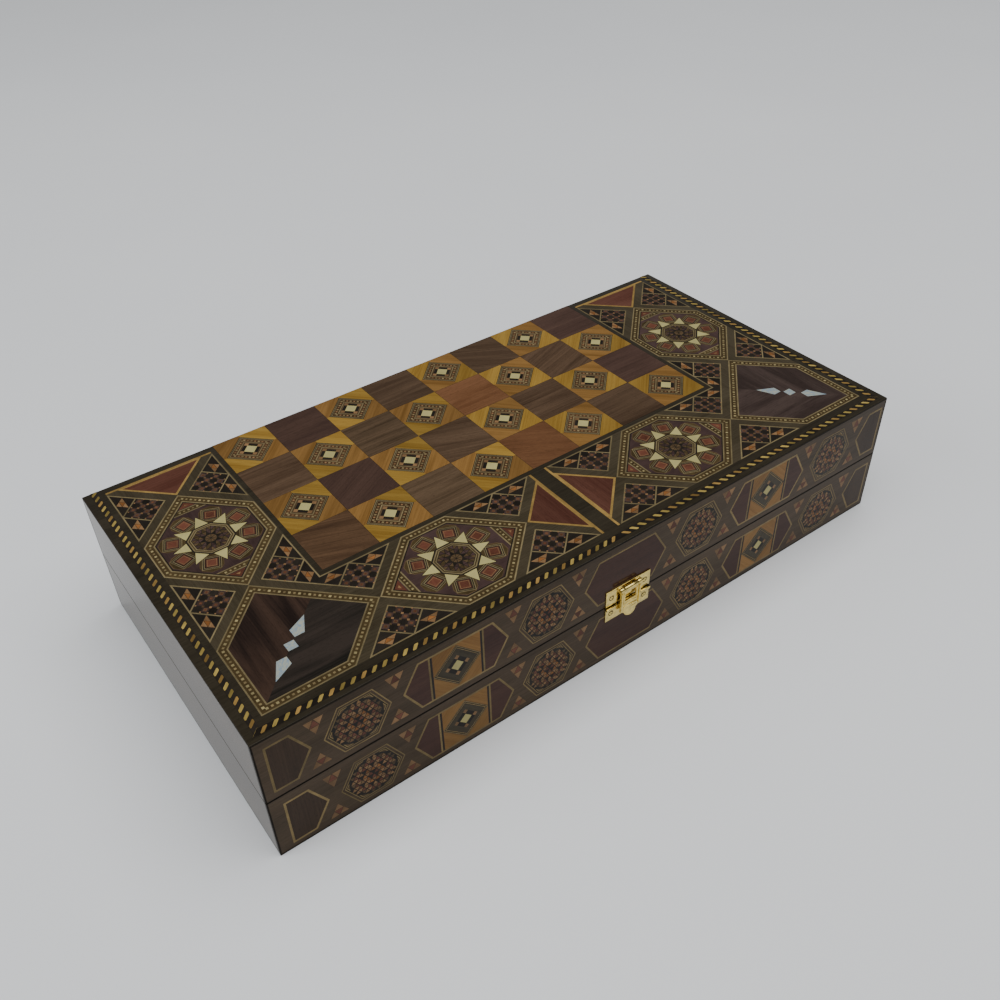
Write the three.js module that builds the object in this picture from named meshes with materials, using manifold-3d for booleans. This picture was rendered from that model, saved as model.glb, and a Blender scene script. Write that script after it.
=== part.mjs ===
// A folding backgammon case: two shallow wooden trays hinged along their long back edge, with a brass
// hasp in front, thirty men and two dice inside. Opened flat, the two trays are the playing board.
// Millimetres, +Z up. X runs along the long front, the front is at -Y, and the origin is the middle of
// the bottom face. The set is closed, with the hasp down.

import * as THREE from "three";
import { mergeVertices } from "three/addons/utils/BufferGeometryUtils.js";
import Module from "manifold-3d";

const wasm = await Module();
wasm.setup();

// ---- driving dimensions of the case ----
const LENGTH = 500; // X, so that the opened board is square
const WIDTH = LENGTH / 2; // Y
const HEIGHT = 98; // Z, closed
const RIM_GAP = 0.5; // between the rims of the two trays
const WALL = 10;
const MARQUETRY = 1; // decorated outer sheet
const PANEL = 4; // backing board under the marquetry
const FIELD = 3; // playing board inside each tray

const MID = HEIGHT / 2; // the parting plane
const RIM = MID - RIM_GAP / 2; // rim height of the base tray
const PANEL_TOP = MARQUETRY + PANEL;
const FIELD_TOP = PANEL_TOP + FIELD;
const HALF_X = LENGTH / 2;
const HALF_Y = WIDTH / 2;
const FRONT = -HALF_Y;

// ---- butt hinges, let into the two back walls ----
const HINGE_SPREAD = 170; // each hinge's distance from the middle
const HINGE_AXIS_Y = HALF_Y + RIM_GAP / 2; // leaves the same gap between the trays when they lie open
const LEAF_LENGTH = 50;
const LEAF_THICK = 1;
const LEAF_INNER_Y = 117;
const LEAF_OUTER_Y = 121.5; // where the plate ends and the tongues to the knuckles begin
const KNUCKLE_R = 3;
const KNUCKLE_BORE_R = 1.25;
const KNUCKLE_HALF = 9.75; // half the length of the lid's knuckle, in the middle
const KNUCKLE_GAP = 0.5;
const HINGE_PIN_R = 1.1;
const LEAF_GAP = 0.25; // around a leaf in its mortise
const KNUCKLE_RECESS = 3.75; // half the size of the square recess around the knuckles

// ---- brass hasp on the front ----
const LATCH_X = 4; // the hasp and its plates sit this far right of the middle
const PLATE_HALF = 18.5; // half the width of both plates
const PLATE_THICK = 1;
const UPPER_PLATE = [49.5, 62]; // Z range of the plate on the lid
const KEEPER_PLATE = [36.5, 48.25]; // Z range of the plate on the base
const KEEPER_TONGUE_TOP = 48.5;
const KEEPER_TONGUE_HALF = 5;
const KEEPER_LIP = { z: 46.5, out: 2.25, inner: 10.5 }; // turned-out top edge beside the hasp
const CATCH = { half: 3.5, z: [44.5, 48.5], out: 2.25 };
const HASP_AXIS_Z = 60;
const HASP_AXIS_OUT = 3;
const HASP_KNUCKLE_R = 1.75;
const HASP_BORE_R = 0.95;
const HASP_PIN_R = 0.75;
const HASP_PIN_HALF = 9.5;
const HASP_KNUCKLE_HALF = 5.25;
const EAR = [5.5, 9]; // X range of the plate's knuckles, on each side
const EAR_FOOT = { half: 1.5, out: 1.875 };
const HASP_HALF = 8.25;
const HASP_OUT = [2.5, 3.5]; // distance from the front face
const HASP_Z = [41, 57.75]; // the full-width part
const HASP_NECK_TOP = 58.75;
const HASP_WINDOW = { half: 4.5, z: [49, 56.5] };
const TAB = { half: 5, z: 39, drop: 3.25 }; // thumb tab: straight to z, then half an ellipse
const SCREW = { x: 14, headR: 2, head: 0.625, shankR: 0.9, length: 7, pilotR: 1.25 };

// ---- men and dice, stored on the base tray's playing board ----
const MAN_R = 16;
const MAN_THICK = 9;
const MEN_PER_POINT = 5;
const MAN_PITCH = 33;
const POINTS_PER_END = 6;
const FIELD_HALF_X = HALF_X - WALL;
const FIELD_HALF_Y = HALF_Y - WALL;
const POINT_PITCH = (2 * FIELD_HALF_Y) / POINTS_PER_END;
const MEN_POINTS = [0, 2, 4]; // the points of each end that hold men
const DIE = 14;
const DICE_PLACES = [[-14, -24], [16, -12]];

// ---- materials ----
const finish = (color, roughness, metalness = 0) =>
  new THREE.MeshStandardMaterial({ color, roughness, metalness });
const walnut = () => finish(0x3a2a24, 0.25);
const plywood = () => finish(0x8a6a48, 0.6);
const inlay = () => finish(0x5c4430, 0.2);
const board = () => finish(0x6d4a30, 0.3);
const brass = () => finish(0xb89a52, 0.3, 1);
const boxwood = () => finish(0xd8b878, 0.35);
const rosewood = () => finish(0x43231c, 0.35);
const bone = () => finish(0xe9e2cf, 0.3);

// ---- solids ----
const ALONG_X = new THREE.Matrix4().makeRotationZ(-Math.PI / 2);
const ALONG_Z = new THREE.Matrix4().makeRotationX(Math.PI / 2);

function box([x0, x1], [y0, y1], [z0, z1]) {
  const geometry = new THREE.BoxGeometry(x1 - x0, y1 - y0, z1 - z0);
  return geometry.translate((x0 + x1) / 2, (y0 + y1) / 2, (z0 + z1) / 2);
}

// A box on the front face, given by its distances out from that face.
function frontBox(xs, [out0, out1], zs) {
  return box(xs, [FRONT - out1, FRONT - out0], zs);
}

function rodX(radius, [x0, x1], y, z, sides) {
  const geometry = new THREE.CylinderGeometry(radius, radius, x1 - x0, sides);
  return geometry.applyMatrix4(ALONG_X).translate((x0 + x1) / 2, y, z);
}

function rodY(radius, [y0, y1], x, z, sides) {
  const geometry = new THREE.CylinderGeometry(radius, radius, y1 - y0, sides);
  return geometry.translate(x, (y0 + y1) / 2, z);
}

function solid(geometry) {
  const bare = geometry.clone();
  bare.deleteAttribute("normal");
  bare.deleteAttribute("uv");
  const merged = mergeVertices(bare, 1e-5);
  return new wasm.Manifold(new wasm.Mesh({
    numProp: 3,
    vertProperties: new Float32Array(merged.attributes.position.array),
    triVerts: new Uint32Array(merged.index.array),
  }));
}

function geometryOf(manifold) {
  const mesh = manifold.getMesh();
  const geometry = new THREE.BufferGeometry();
  geometry.setAttribute("position", new THREE.BufferAttribute(mesh.vertProperties, 3));
  geometry.setIndex(new THREE.BufferAttribute(mesh.triVerts, 1));
  geometry.computeVertexNormals();
  return geometry;
}

// Joins the first list of geometries and cuts the second list away.
function carve(joined, cut = []) {
  const whole = joined.map(solid).reduce((sum, piece) => sum.add(piece));
  return geometryOf(cut.map(solid).reduce((left, tool) => left.subtract(tool), whole));
}

const part = new THREE.Group();

function place(name, geometry, material) {
  const mesh = new THREE.Mesh(geometry, material);
  mesh.name = name;
  part.add(mesh);
}

// The lid is the base tray turned over, so its heights are mirrored about the parting plane.
const TRAYS = [
  { name: "base", level: (z) => z },
  { name: "lid", level: (z) => HEIGHT - z },
];
const span = (tray, z0, z1) => [tray.level(z0), tray.level(z1)].sort((a, b) => a - b);

// ---- the trays ----
const screwPlaces = {
  base: { z: (KEEPER_PLATE[0] + KEEPER_PLATE[1]) / 2 },
  lid: { z: (UPPER_PLATE[0] + UPPER_PLATE[1]) / 2 },
};

function hingeCuts(tray) {
  const cuts = [];
  for (const side of [-1, 1]) {
    const x = side * HINGE_SPREAD;
    const reach = LEAF_LENGTH / 2 + LEAF_GAP;
    const along = [x - reach, x + reach];
    cuts.push(box(along, [LEAF_INNER_Y - LEAF_GAP, HALF_Y + 1], span(tray, RIM - LEAF_THICK, RIM + 1)));
    cuts.push(box(
      along,
      [HINGE_AXIS_Y - KNUCKLE_RECESS, HALF_Y + 1],
      span(tray, MID - KNUCKLE_RECESS, RIM + 1),
    ));
  }
  return cuts;
}

function pilotHoles(tray) {
  const depth = SCREW.length + 0.5;
  return [-1, 1].map((side) =>
    rodY(SCREW.pilotR, [FRONT - 1, FRONT + depth], LATCH_X + side * SCREW.x, screwPlaces[tray.name].z, 10));
}

function makeTray(tray) {
  const { name } = tray;
  const wallZ = span(tray, PANEL_TOP, RIM);
  const acrossX = [-HALF_X, HALF_X];
  const betweenY = [-FIELD_HALF_Y, FIELD_HALF_Y];
  place(`${name}_marquetry`, box(acrossX, [-HALF_Y, HALF_Y], span(tray, 0, MARQUETRY)), inlay());
  place(`${name}_panel`, box(acrossX, [-HALF_Y, HALF_Y], span(tray, MARQUETRY, PANEL_TOP)), plywood());
  place(
    `${name}_playing_board`,
    box([-FIELD_HALF_X, FIELD_HALF_X], betweenY, span(tray, PANEL_TOP, FIELD_TOP)),
    board(),
  );
  const front = box(acrossX, [FRONT, FRONT + WALL], wallZ);
  const back = box(acrossX, [HALF_Y - WALL, HALF_Y], wallZ);
  place(`${name}_front_wall`, carve([front], pilotHoles(tray)), walnut());
  place(`${name}_back_wall`, carve([back], hingeCuts(tray)), walnut());
  place(`${name}_left_wall`, box([-HALF_X, -FIELD_HALF_X], betweenY, wallZ), walnut());
  place(`${name}_right_wall`, box([FIELD_HALF_X, HALF_X], betweenY, wallZ), walnut());
}

TRAYS.forEach(makeTray);

// ---- the hinges: the base leaf has the two outer knuckles, the lid leaf the middle one ----
const KNUCKLE_SIDES = 16;

function hingeLeaf(tray, x, knuckles) {
  const plateZ = span(tray, RIM - LEAF_THICK, RIM);
  const plate = box([x - LEAF_LENGTH / 2, x + LEAF_LENGTH / 2], [LEAF_INNER_Y, LEAF_OUTER_Y], plateZ);
  const joined = [plate];
  const bores = [];
  for (const [x0, x1] of knuckles) {
    const along = [x + x0, x + x1];
    joined.push(box(along, [LEAF_OUTER_Y - 1, HINGE_AXIS_Y - KNUCKLE_BORE_R - 0.5], plateZ));
    joined.push(rodX(KNUCKLE_R, along, HINGE_AXIS_Y, MID, KNUCKLE_SIDES));
    bores.push(rodX(KNUCKLE_BORE_R, [along[0] - 1, along[1] + 1], HINGE_AXIS_Y, MID, KNUCKLE_SIDES));
  }
  return carve(joined, bores);
}

const outerKnuckle = [KNUCKLE_HALF + KNUCKLE_GAP, LEAF_LENGTH / 2];
const hinges = [["left", -HINGE_SPREAD], ["right", HINGE_SPREAD]];
for (const [side, x] of hinges) {
  const [base, lid] = TRAYS;
  const outer = [[-outerKnuckle[1], -outerKnuckle[0]], outerKnuckle];
  place(`${side}_hinge_base_leaf`, hingeLeaf(base, x, outer), brass());
  place(`${side}_hinge_lid_leaf`, hingeLeaf(lid, x, [[-KNUCKLE_HALF, KNUCKLE_HALF]]), brass());
  const pinSpan = [x - LEAF_LENGTH / 2, x + LEAF_LENGTH / 2];
  place(`${side}_hinge_pin`, rodX(HINGE_PIN_R, pinSpan, HINGE_AXIS_Y, MID, KNUCKLE_SIDES), brass());
}

// ---- the hasp: drawn about x = 0, then moved to LATCH_X ----
const HASP_SIDES = 12;
const haspY = FRONT - HASP_AXIS_OUT;
const bothSides = ([x0, x1]) => [[-x1, -x0], [x0, x1]];
const screwHoles = (z) =>
  [-1, 1].map((side) => rodY(SCREW.pilotR, [FRONT - PLATE_THICK - 1, FRONT + 1], side * SCREW.x, z, 10));

function latchPlate() {
  const joined = [frontBox([-PLATE_HALF, PLATE_HALF], [0, PLATE_THICK], UPPER_PLATE)];
  const cut = screwHoles(screwPlaces.lid.z);
  for (const ear of bothSides(EAR)) {
    const footZ = [HASP_AXIS_Z - EAR_FOOT.half, HASP_AXIS_Z + EAR_FOOT.half];
    joined.push(frontBox(ear, [PLATE_THICK / 2, EAR_FOOT.out], footZ));
    joined.push(rodX(HASP_KNUCKLE_R, ear, haspY, HASP_AXIS_Z, HASP_SIDES));
    cut.push(rodX(HASP_BORE_R, [ear[0] - 1, ear[1] + 1], haspY, HASP_AXIS_Z, HASP_SIDES));
  }
  return carve(joined, cut);
}

function keeperPlate() {
  const tongueZ = [KEEPER_PLATE[0] + 1, KEEPER_TONGUE_TOP];
  const joined = [
    frontBox([-PLATE_HALF, PLATE_HALF], [0, PLATE_THICK], KEEPER_PLATE),
    frontBox([-KEEPER_TONGUE_HALF, KEEPER_TONGUE_HALF], [0, PLATE_THICK], tongueZ),
    frontBox([-CATCH.half, CATCH.half], [PLATE_THICK / 2, CATCH.out], CATCH.z),
  ];
  for (const lip of bothSides([KEEPER_LIP.inner, PLATE_HALF])) {
    joined.push(frontBox(lip, [PLATE_THICK / 2, KEEPER_LIP.out], [KEEPER_LIP.z, KEEPER_PLATE[1]]));
  }
  return carve(joined, screwHoles(screwPlaces.base.z));
}

// The flat of the hasp, drawn from the front: a wide plate that narrows to a round thumb tab.
function haspOutline() {
  const shape = new THREE.Shape();
  shape.moveTo(-HASP_HALF, HASP_Z[1]);
  shape.lineTo(-HASP_HALF, HASP_Z[0]);
  shape.lineTo(-TAB.half, TAB.z);
  shape.absellipse(0, TAB.z, TAB.half, TAB.drop, Math.PI, 2 * Math.PI, false, 0);
  shape.lineTo(HASP_HALF, HASP_Z[0]);
  shape.lineTo(HASP_HALF, HASP_Z[1]);
  return shape;
}

function hasp() {
  const flat = new THREE.ExtrudeGeometry(haspOutline(), {
    depth: HASP_OUT[1] - HASP_OUT[0],
    bevelEnabled: false,
    curveSegments: 5,
  });
  flat.applyMatrix4(ALONG_Z).translate(0, FRONT - HASP_OUT[0], 0);
  const neck = frontBox([-HASP_KNUCKLE_HALF, HASP_KNUCKLE_HALF], HASP_OUT, [HASP_Z[1] - 1, HASP_NECK_TOP]);
  const knuckle = [-HASP_KNUCKLE_HALF, HASP_KNUCKLE_HALF];
  return carve(
    [flat, neck, rodX(HASP_KNUCKLE_R, knuckle, haspY, HASP_AXIS_Z, HASP_SIDES)],
    [
      rodX(HASP_BORE_R, [-HASP_HALF, HASP_HALF], haspY, HASP_AXIS_Z, HASP_SIDES),
      frontBox([-HASP_WINDOW.half, HASP_WINDOW.half], [HASP_OUT[0] - 1, HASP_OUT[1] + 1], HASP_WINDOW.z),
    ],
  );
}

function screw(x, z) {
  const underHead = FRONT - PLATE_THICK;
  return carve([
    rodY(SCREW.headR, [underHead - SCREW.head, underHead], x, z, 12),
    rodY(SCREW.shankR, [underHead - SCREW.head / 2, FRONT + SCREW.length], x, z, 8),
  ]);
}

const placeLatch = (name, geometry) => place(name, geometry.translate(LATCH_X, 0, 0), brass());

placeLatch("latch_plate", latchPlate());
placeLatch("keeper_plate", keeperPlate());
placeLatch("hasp", hasp());
placeLatch("hasp_pin", rodX(HASP_PIN_R, [-HASP_PIN_HALF, HASP_PIN_HALF], haspY, HASP_AXIS_Z, HASP_SIDES));
for (const [side, x] of [["left", -SCREW.x], ["right", SCREW.x]]) {
  placeLatch(`latch_plate_${side}_screw`, screw(x, screwPlaces.lid.z));
  placeLatch(`keeper_plate_${side}_screw`, screw(x, screwPlaces.base.z));
}

// ---- the men: three points of five at each end, light at the left, dark at the right ----
const MAN_SIDES = 20;

function man(x, y) {
  const geometry = new THREE.CylinderGeometry(MAN_R, MAN_R, MAN_THICK, MAN_SIDES);
  return geometry.applyMatrix4(ALONG_Z).translate(x, y, FIELD_TOP + MAN_THICK / 2);
}

const ENDS = [["light", -1, boxwood], ["dark", 1, rosewood]];
for (const [colour, end, wood] of ENDS) {
  MEN_POINTS.forEach((point, column) => {
    const y = end * (-FIELD_HALF_Y + (point + 0.5) * POINT_PITCH);
    for (let along = 0; along < MEN_PER_POINT; along += 1) {
      const x = end * (FIELD_HALF_X - 1 - MAN_R - along * MAN_PITCH);
      const number = String(column * MEN_PER_POINT + along + 1).padStart(2, "0");
      place(`${colour}_man_${number}`, man(x, y), wood());
    }
  });
}

DICE_PLACES.forEach(([x, y], index) => {
  const reach = DIE / 2;
  const die = box([x - reach, x + reach], [y - reach, y + reach], [FIELD_TOP, FIELD_TOP + DIE]);
  place(`die_${index + 1}`, die, bone());
});

export default part;
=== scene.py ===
"""Looks of a folding inlaid backgammon case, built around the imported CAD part.

Inlay is drawn flat, in millimetres, as shapes painted over one another. A Motif splits them where they
overlap, and Piece.plate() makes thin closed plates of the result on any face of the case. Every corner of a
face carries "grain": the distance along the grain, across it, and one random number per shape.
"""

import math
import random

import bmesh
import bpy
from mathutils import Matrix, Vector
from mathutils.geometry import delaunay_2d_cdt


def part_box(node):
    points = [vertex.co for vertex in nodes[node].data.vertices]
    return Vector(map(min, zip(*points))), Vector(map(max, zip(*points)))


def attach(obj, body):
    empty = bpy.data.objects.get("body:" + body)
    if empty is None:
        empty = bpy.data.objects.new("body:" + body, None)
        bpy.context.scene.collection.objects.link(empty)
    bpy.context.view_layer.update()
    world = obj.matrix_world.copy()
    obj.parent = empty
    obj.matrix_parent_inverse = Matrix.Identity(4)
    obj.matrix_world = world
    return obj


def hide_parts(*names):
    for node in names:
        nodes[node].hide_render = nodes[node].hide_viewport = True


MM = 0.001
X, Y, Z = Vector((1, 0, 0)), Vector((0, 1, 0)), Vector((0, 0, 1))

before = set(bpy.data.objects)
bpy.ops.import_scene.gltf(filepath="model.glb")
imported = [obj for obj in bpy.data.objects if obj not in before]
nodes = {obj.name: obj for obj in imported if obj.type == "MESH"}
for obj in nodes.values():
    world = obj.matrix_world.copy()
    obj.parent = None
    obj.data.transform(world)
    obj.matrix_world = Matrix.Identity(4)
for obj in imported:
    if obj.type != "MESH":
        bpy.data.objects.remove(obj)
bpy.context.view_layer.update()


def box_mm(node):
    """Lowest and highest corner of a CAD node, in millimetres."""
    low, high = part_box(node)
    return low / MM, high / MM


def middle_of(low, high):
    return (low + high) / 2


TOP = box_mm("lid_marquetry")[1]
BOTTOM = box_mm("base_marquetry")[0]
HALF_X = TOP.x
HALF_Y = TOP.y
LID_RIM = box_mm("lid_front_wall")[0].z
BASE_RIM = box_mm("base_front_wall")[1].z
LID_FIELD = box_mm("lid_playing_board")[0].z
BASE_FIELD = box_mm("base_playing_board")[1].z
FIELD_X = box_mm("base_playing_board")[1].x
FIELD_Y = box_mm("base_playing_board")[1].y


# ---------------------------------------------------------------- camera

CAMERA_AT = Vector((-0.32604, -0.45646, 0.50699))
CAMERA_RIGHT = Vector((0.80443, -0.59345, -0.02664))
CAMERA_UP = Vector((0.39184, 0.49637, 0.77465))
LENS = 36.43

camera = bpy.data.objects.new("camera", bpy.data.cameras.new("camera"))
bpy.context.scene.collection.objects.link(camera)
back = CAMERA_RIGHT.cross(CAMERA_UP)
turn = Matrix((CAMERA_RIGHT, CAMERA_UP, back)).transposed()
camera.matrix_world = Matrix.Translation(CAMERA_AT) @ turn.to_4x4()
camera.data.lens = LENS
camera.data.sensor_width = 36
bpy.context.scene.camera = camera


# ---------------------------------------------------------------- materials

# How far, in mm, a shape's random number of 0 to 1 moves it along the grain, across it and in depth
TILE_ALONG, TILE_ACROSS, TILE_DEPTH = 613, 97, 40


class Tree:
    """A material's node tree, written as calls that return sockets."""

    def __init__(self, name):
        self.material = bpy.data.materials.new(name)
        self.material.use_nodes = True
        self.nodes = self.material.node_tree.nodes
        self.links = self.material.node_tree.links
        self.shader = self.nodes["Principled BSDF"]

    def node(self, kind, **settings):
        made = self.nodes.new("ShaderNode" + kind)
        for key, value in settings.items():
            setattr(made, key, value)
        return made

    def feed(self, socket, value):
        if isinstance(value, bpy.types.NodeSocket):
            self.links.new(value, socket)
        elif value is not None:
            socket.default_value = value

    def math(self, operation, a, b, c=None):
        made = self.node("Math", operation=operation)
        for socket, value in zip(made.inputs, (a, b, c)):
            self.feed(socket, value)
        return made.outputs[0]

    def times(self, vector, scale):
        made = self.node("VectorMath", operation="MULTIPLY")
        self.feed(made.inputs[0], vector)
        self.feed(made.inputs[1], scale)
        return made.outputs[0]

    def noise(self, vector, scale, detail, distortion=0.0):
        made = self.node("TexNoise")
        self.feed(made.inputs["Vector"], vector)
        made.inputs["Scale"].default_value = scale
        made.inputs["Detail"].default_value = detail
        made.inputs["Roughness"].default_value = 0.55
        made.inputs["Distortion"].default_value = distortion
        return made.outputs["Fac"]

    def ramp(self, value, stops):
        made = self.node("ValToRGB")
        elements = made.color_ramp.elements
        for _ in range(len(stops) - 2):
            elements.new(0.5)
        for element, (place, colour) in zip(elements, stops):
            element.position = place
            element.color = (*colour, 1)
        self.feed(made.inputs[0], value)
        return made.outputs[0]

    def span(self, value, low, high, out_low, out_high):
        made = self.node("MapRange")
        for socket, item in zip(made.inputs, (value, low, high, out_low, out_high)):
            self.feed(socket, item)
        return made.outputs[0]

    def bump(self, height, distance, strength=1.0):
        made = self.node("Bump")
        made.inputs["Strength"].default_value = strength
        made.inputs["Distance"].default_value = distance
        self.feed(made.inputs["Height"], height)
        self.links.new(made.outputs[0], self.shader.inputs["Normal"])

    def set(self, **values):
        for key, value in values.items():
            self.feed(self.shader.inputs[key.replace("_", " ")], value)

    def grain(self, axes=None):
        """(along, across, offset) for noise, and the shape's random number. CAD nodes have no grain of
        their own: axes then names the object axis that runs along the grain, then across it."""
        if axes is None:
            read = self.node("Attribute", attribute_name="grain")
            split = self.node("SeparateXYZ")
            self.links.new(read.outputs["Vector"], split.inputs[0])
            return self.times(read.outputs["Vector"], (1, 1, TILE_DEPTH)), split.outputs[2]
        where = self.node("TexCoord")
        split = self.node("SeparateXYZ")
        self.links.new(where.outputs["Object"], split.inputs[0])
        join = self.node("CombineXYZ")
        for socket, axis in zip(join.inputs, axes):
            self.links.new(split.outputs["xyz".index(axis)], socket)
        return self.times(join.outputs[0], (1 / MM, 1 / MM, 1 / MM)), 0.5


def shade(colour, factor):
    return tuple(channel * factor for channel in colour)


def lacquer(tree, roughness=0.4, coat=0.85):
    """Base under a clear gloss lacquer."""
    tree.set(Roughness=roughness, Specular_IOR_Level=0.0)
    tree.set(Coat_Weight=coat, Coat_Roughness=0.05, Coat_IOR=1.2)


def tile_colour(tree, colour, shading, tile, spread, coat):
    """The colour times its shading, lighter or darker by up to spread from tile to tile, under lacquer."""
    value = tree.math("MULTIPLY", shading, tree.span(tile, 0, 1, 1 - spread, 1 + spread))
    scaled = tree.node("VectorMath", operation="SCALE")
    tree.feed(scaled.inputs[0], colour)
    tree.feed(scaled.inputs["Scale"], value)
    tree.set(Base_Color=scaled.outputs[0])
    lacquer(tree, coat=coat)


def recipe(make):
    """make(name, ...) as a call that waits for its name."""

    def settings(*values, **named):
        return lambda name: make(name, *values, **named)

    return settings


@recipe
def wood(
    name,
    dark,
    light,
    fibre=0.9,  # how fine the fibres are
    figure=0.06,  # how fine the broad figure is
    pore=0.7,  # the pores' shade
    spread=0.2,
    streak=0.45,  # how much of the colour follows the fibres
    coat=0.9,
    axes=None,
    bumpy=False,
):
    """Wood with fine fibres, a broad figure and darker pores, in the tile's own shade."""
    tree = Tree(name)
    where, tile = tree.grain(axes)
    fibres = tree.noise(tree.times(where, (0.02, fibre, 1)), 1.0, 5.0)
    figures = tree.noise(tree.times(where, (0.01, figure, 1)), 1.0, 2.0, 0.8)
    mixed = tree.math("MULTIPLY_ADD", fibres, streak, tree.math("MULTIPLY", figures, 1 - streak))
    middle = tuple((a + b) / 2 for a, b in zip(dark, light))
    reach = 0.04 + 0.27 * streak
    colour = tree.ramp(mixed, ((0.5 - reach, dark), (0.5, middle), (0.5 + reach, light)))
    pores = tree.noise(tree.times(where, (0.3, 3.5, 1)), 1.0, 1.0)
    holes = tree.span(pores, 0.56, 0.68, 1.0, pore)
    tile_colour(tree, colour, holes, tile, spread, coat)
    if bumpy:
        tree.bump(tree.math("MULTIPLY", fibres, holes), 0.00006)
    return tree.material


@recipe
def inlay(name, colour, spread=0.25, grain_shade=0.25):
    """Small pieces of one wood or bone: each its own shade, cloudy and faintly streaked."""
    tree = Tree(name)
    where, tile = tree.grain()
    streaks = tree.noise(tree.times(where, (0.15, 1.6, 1)), 1.0, 3.0)
    clouds = tree.noise(where, 0.12, 1.0)
    value = tree.math("ADD", streaks, clouds)
    value = tree.span(value, 0.7, 1.3, 1 - grain_shade, 1 + grain_shade)
    tile_colour(tree, colour, value, tile, spread, 0.85)
    return tree.material


def pearl(name):
    """Mother of pearl: clouds that go from cool blue-green to warm white."""
    tree = Tree(name)
    where, _ = tree.grain()
    clouds = tree.noise(tree.times(where, (0.25, 0.5, 1)), 1.0, 2.0, 1.5)
    tints = ((0.38, (0.20, 0.26, 0.31)), (0.5, (0.26, 0.30, 0.29)), (0.62, (0.33, 0.34, 0.27)))
    tree.set(Base_Color=tree.ramp(clouds, tints))
    lacquer(tree, 0.25)
    return tree.material


@recipe
def brass(name, colour, roughness):
    """Bright lacquered brass, with faint rolling marks and duller patches."""
    tree = Tree(name)
    where, _ = tree.grain("xzy")
    marks = tree.noise(tree.times(where, (0.3, 4.0, 4.0)), 1.0, 3.0)
    patches = tree.noise(where, 0.35, 2.0)
    tree.set(Base_Color=tree.ramp(patches, ((0.35, shade(colour, 0.72)), (0.65, colour))))
    tree.set(Metallic=1.0, Roughness=tree.span(marks, 0.3, 0.7, roughness - 0.08, roughness + 0.12))
    tree.bump(marks, 0.00004, strength=0.5)
    return tree.material


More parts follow.
